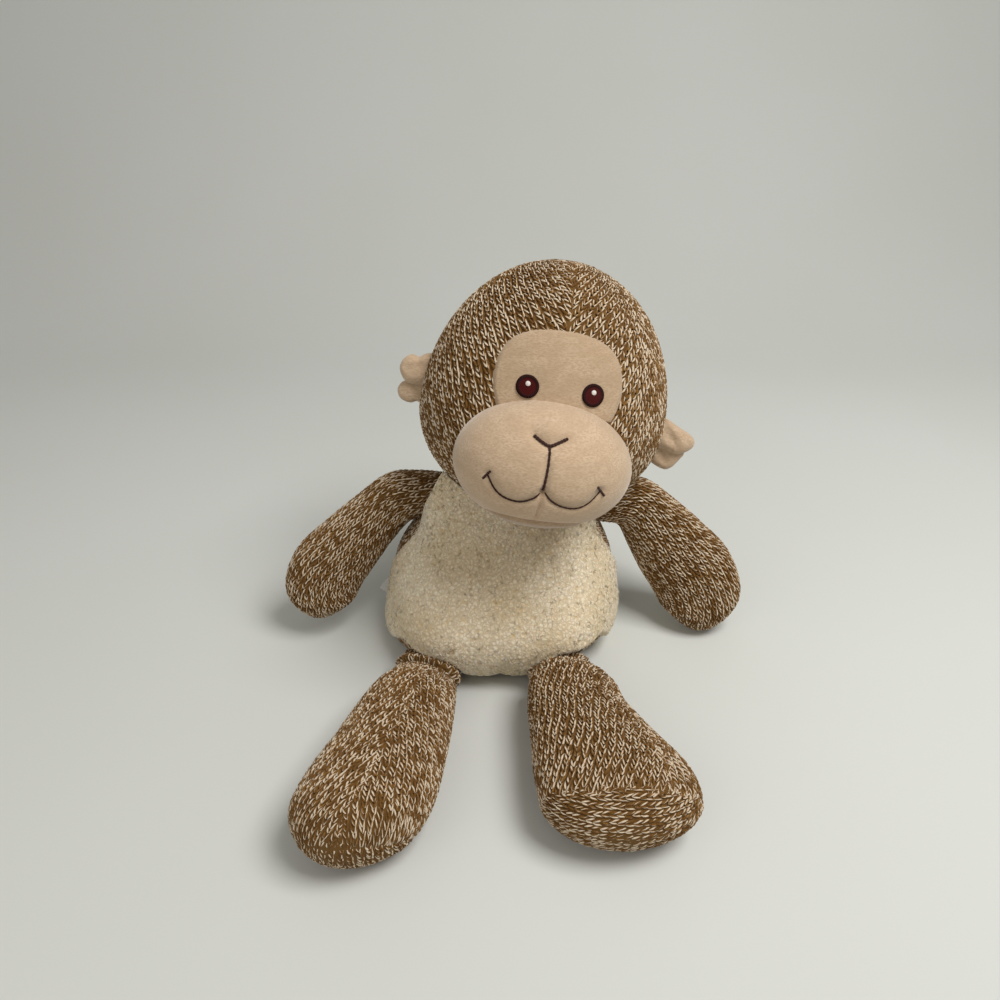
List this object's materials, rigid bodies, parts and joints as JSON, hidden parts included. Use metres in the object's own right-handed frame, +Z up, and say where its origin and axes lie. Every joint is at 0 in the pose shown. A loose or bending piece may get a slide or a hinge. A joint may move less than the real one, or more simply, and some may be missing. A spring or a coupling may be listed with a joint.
{
  "type": "plush monkey",
  "caption": "Sitting stuffed monkey with marled knit head, arms and legs, a curly fleece belly, smooth pile face, muzzle and ears, and embroidered eyes, nose and mouth.",
  "frame": {"origin": "middle of the flat seat that the toy sits on", "axes": "+Z up, the toy faces -Y, its own left side is +X"},
  "size_m": [0.2717, 0.2588, 0.211],
  "materials": {
    "knit": "marled brown and off-white chunky knit",
    "fleece": "cream curly fleece",
    "smooth_pile": "pinkish tan short smooth pile",
    "dark_thread": "dark burgundy brown embroidery thread",
    "highlight_thread": "off-white embroidery thread",
    "filling": "loose white polyester fibre",
    "pellets": "plastic pellets in a cloth bag",
    "label": "plain woven label"
  },
  "bodies": {
    "torso": {"belly_panel": "fleece", "back_panel": "knit", "seat_panel": "knit", "torso_filling": "filling", "pellet_bag": "pellets", "side_label": "label"},
    "neck": {"neck_filling": "filling"},
    "head": {"head_front_left": "knit", "head_front_right": "knit", "head_back_left": "knit", "head_back_right": "knit", "face_patch": "smooth_pile", "head_filling": "filling", "muzzle_cover": "smooth_pile", "chin_panel": "smooth_pile", "muzzle_filling": "filling", "nose_stitches": "dark_thread", "mouth_stitches_left": "dark_thread", "mouth_stitches_right": "dark_thread", "eye_left": "dark_thread", "eye_right": "dark_thread", "eye_highlight_left": "highlight_thread", "eye_highlight_right": "highlight_thread"},
    "ear_left": {"ear_left": "smooth_pile"},
    "ear_right": {"ear_right": "smooth_pile"},
    "arm_left": {"arm_cover_left": "knit", "arm_filling_left": "filling"},
    "leg_left": {"leg_cover_left": "knit", "foot_sole_left": "knit", "leg_filling_left": "filling"},
    "arm_right": {"arm_cover_right": "knit", "arm_filling_right": "filling"},
    "leg_right": {"leg_cover_right": "knit", "foot_sole_right": "knit", "leg_filling_right": "filling"}
  },
  "joints": [
    {"name": "head_turn", "type": "hinge", "parent": "torso", "child": "neck", "pos_m": [0.022, 0.017, 0.092], "axis": [0, 0, 1], "range_deg": [-20, 20], "stiffness_Nm_per_rad": 1},
    {"name": "head_nod", "type": "hinge", "parent": "neck", "child": "head", "pos_m": [0.022, 0.017, 0.092], "axis": [1, 0, 0], "range_deg": [-12, 10], "stiffness_Nm_per_rad": 1.2},
    {"name": "ear_left_fold", "type": "hinge", "parent": "head", "child": "ear_left", "pos_m": [0.08964, 0.01909, 0.1116], "axis": [0.1406, 0.309, 0.9406], "range_deg": [-15, 15], "stiffness_Nm_per_rad": 0.02},
    {"name": "ear_right_fold", "type": "hinge", "parent": "head", "child": "ear_right", "pos_m": [-0.03893, 0.02023, 0.14745], "axis": [0.1406, 0.309, 0.9406], "range_deg": [-15, 15], "stiffness_Nm_per_rad": 0.02},
    {"name": "arm_left_swing", "type": "hinge", "parent": "torso", "child": "arm_left", "pos_m": [0.05418, 0.01055, 0.078], "axis": [-1, 0, 0], "range_deg": [-3, 40], "stiffness_Nm_per_rad": 0.3},
    {"name": "arm_right_swing", "type": "hinge", "parent": "torso", "child": "arm_right", "pos_m": [-0.03336, 0.01165, 0.081], "axis": [-1, 0, 0], "range_deg": [-3, 40], "stiffness_Nm_per_rad": 0.3},
    {"name": "leg_left_lift", "type": "hinge", "parent": "torso", "child": "leg_left", "pos_m": [0.0355, -0.05704, 0.013], "axis": [-1, 0, 0], "range_deg": [-45, 50]},
    {"name": "leg_right_lift", "type": "hinge", "parent": "torso", "child": "leg_right", "pos_m": [-0.0355, -0.05365, 0.013], "axis": [-1, 0, 0], "range_deg": [-45, 50]}
  ]
}
